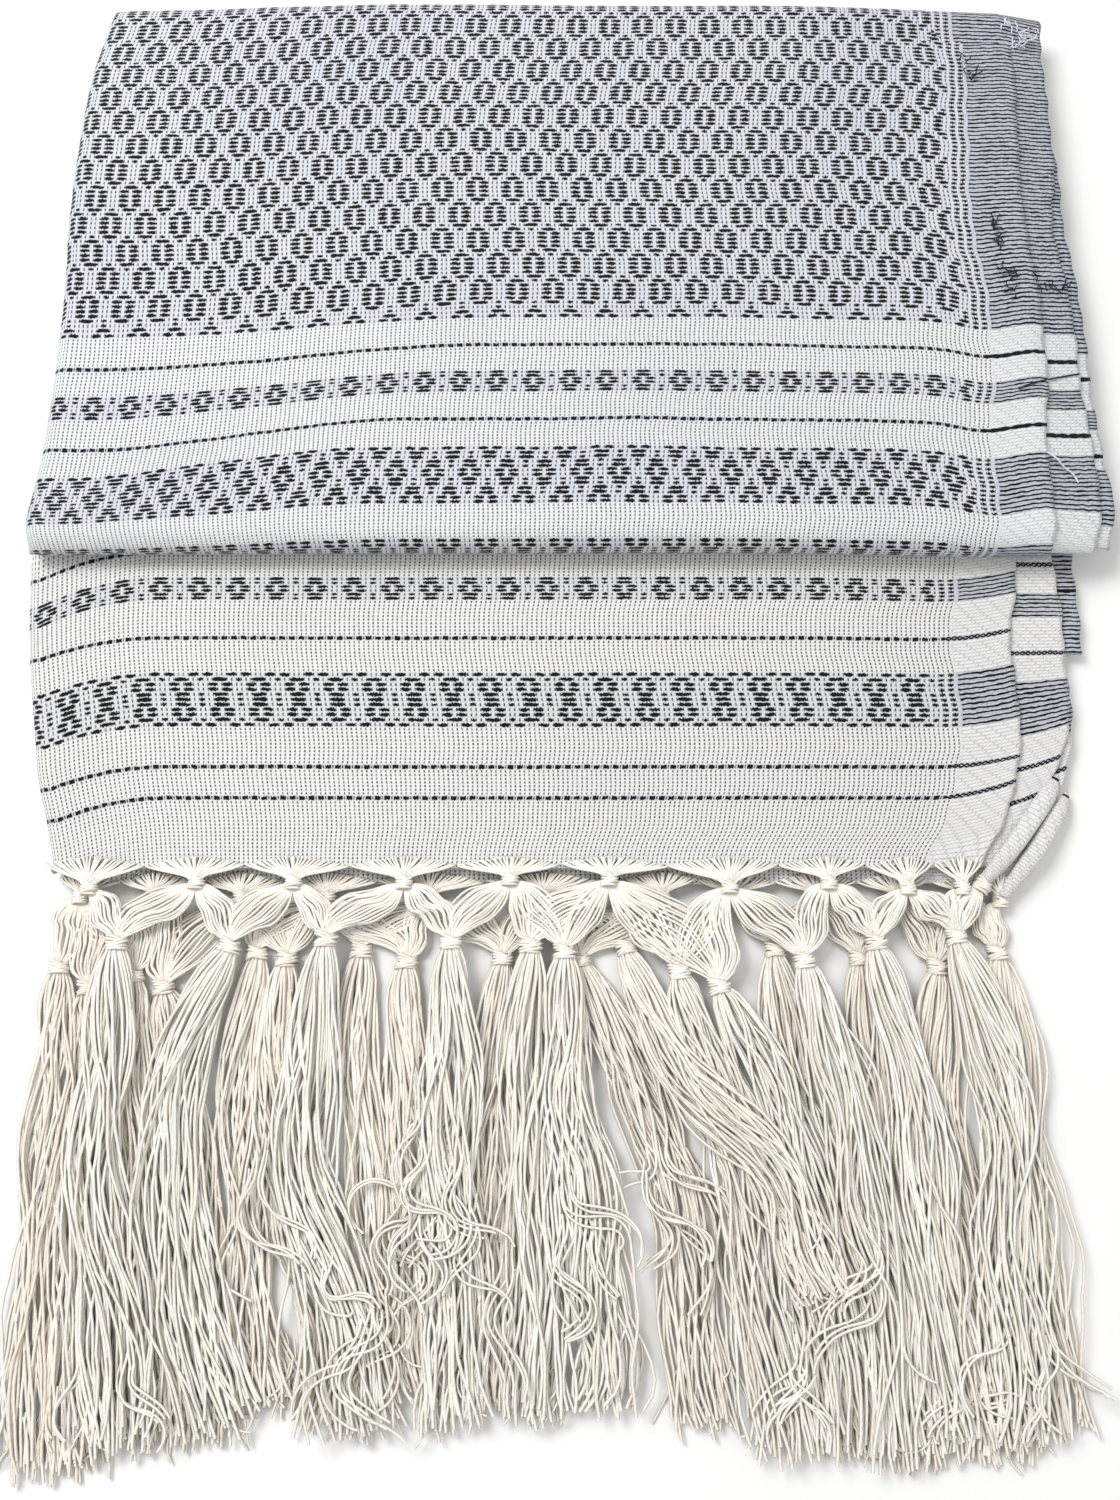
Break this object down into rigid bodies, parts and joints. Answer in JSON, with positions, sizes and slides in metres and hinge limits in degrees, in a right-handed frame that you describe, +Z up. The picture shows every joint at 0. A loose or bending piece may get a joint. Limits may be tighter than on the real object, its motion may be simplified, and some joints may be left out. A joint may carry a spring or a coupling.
{
  "type": "rebozo shawl",
  "caption": "Handwoven cotton shawl with dark patterned bands and a knotted, tasselled fringe at each end, folded lengthwise and then crosswise and lying flat.",
  "frame": {"origin": "middle of the footprint, on the surface that the folded shawl lies on", "axes": "+Z up from that surface, -Y towards the ends of the fringe, -X towards the lengthwise fold and +X towards the stepped selvedges"},
  "size_m": [0.404, 0.5533, 0.0281],
  "materials": {
    "upper_cloth": "matt handwoven cotton, white with black pattern wefts",
    "lower_cloth": "matt handwoven cotton, cream with black pattern wefts",
    "patterned_cloth": "matt handwoven cotton, mostly black pattern wefts",
    "hidden_cloth": "matt handwoven cotton, in shade",
    "fringe_thread": "matt plied cotton thread",
    "back_fringe_thread": "matt plied cotton thread, in shade"
  },
  "bodies": {
    "root": {"hidden_folds": "hidden_cloth", "upper_front": "upper_cloth", "upper_behind": "upper_cloth", "upper_third": "upper_cloth", "lower_front": "lower_cloth", "lower_behind": "lower_cloth", "middle_turn": "patterned_cloth", "other_end_front": "lower_cloth", "other_end_behind": "lower_cloth", "front_knots": "fringe_thread", "back_knots": "back_fringe_thread", "tassel_b01": "back_fringe_thread", "tassel_b02": "back_fringe_thread", "tassel_b03": "back_fringe_thread", "tassel_b04": "back_fringe_thread", "tassel_b05": "back_fringe_thread", "tassel_b06": "back_fringe_thread", "tassel_b07": "back_fringe_thread", "tassel_b08": "back_fringe_thread", "tassel_b09": "back_fringe_thread", "tassel_b10": "back_fringe_thread", "tassel_b11": "back_fringe_thread", "tassel_b12": "back_fringe_thread", "tassel_b13": "back_fringe_thread", "tassel_b14": "back_fringe_thread", "tassel_b15": "back_fringe_thread", "tassel_f01": "fringe_thread", "tassel_f02": "fringe_thread", "tassel_f03": "fringe_thread", "tassel_f04": "fringe_thread", "tassel_f05": "fringe_thread", "tassel_f06": "fringe_thread", "tassel_f07": "fringe_thread", "tassel_f08": "fringe_thread", "tassel_f09": "fringe_thread", "tassel_f10": "fringe_thread", "tassel_f11": "fringe_thread"}
  },
  "joints": []
}
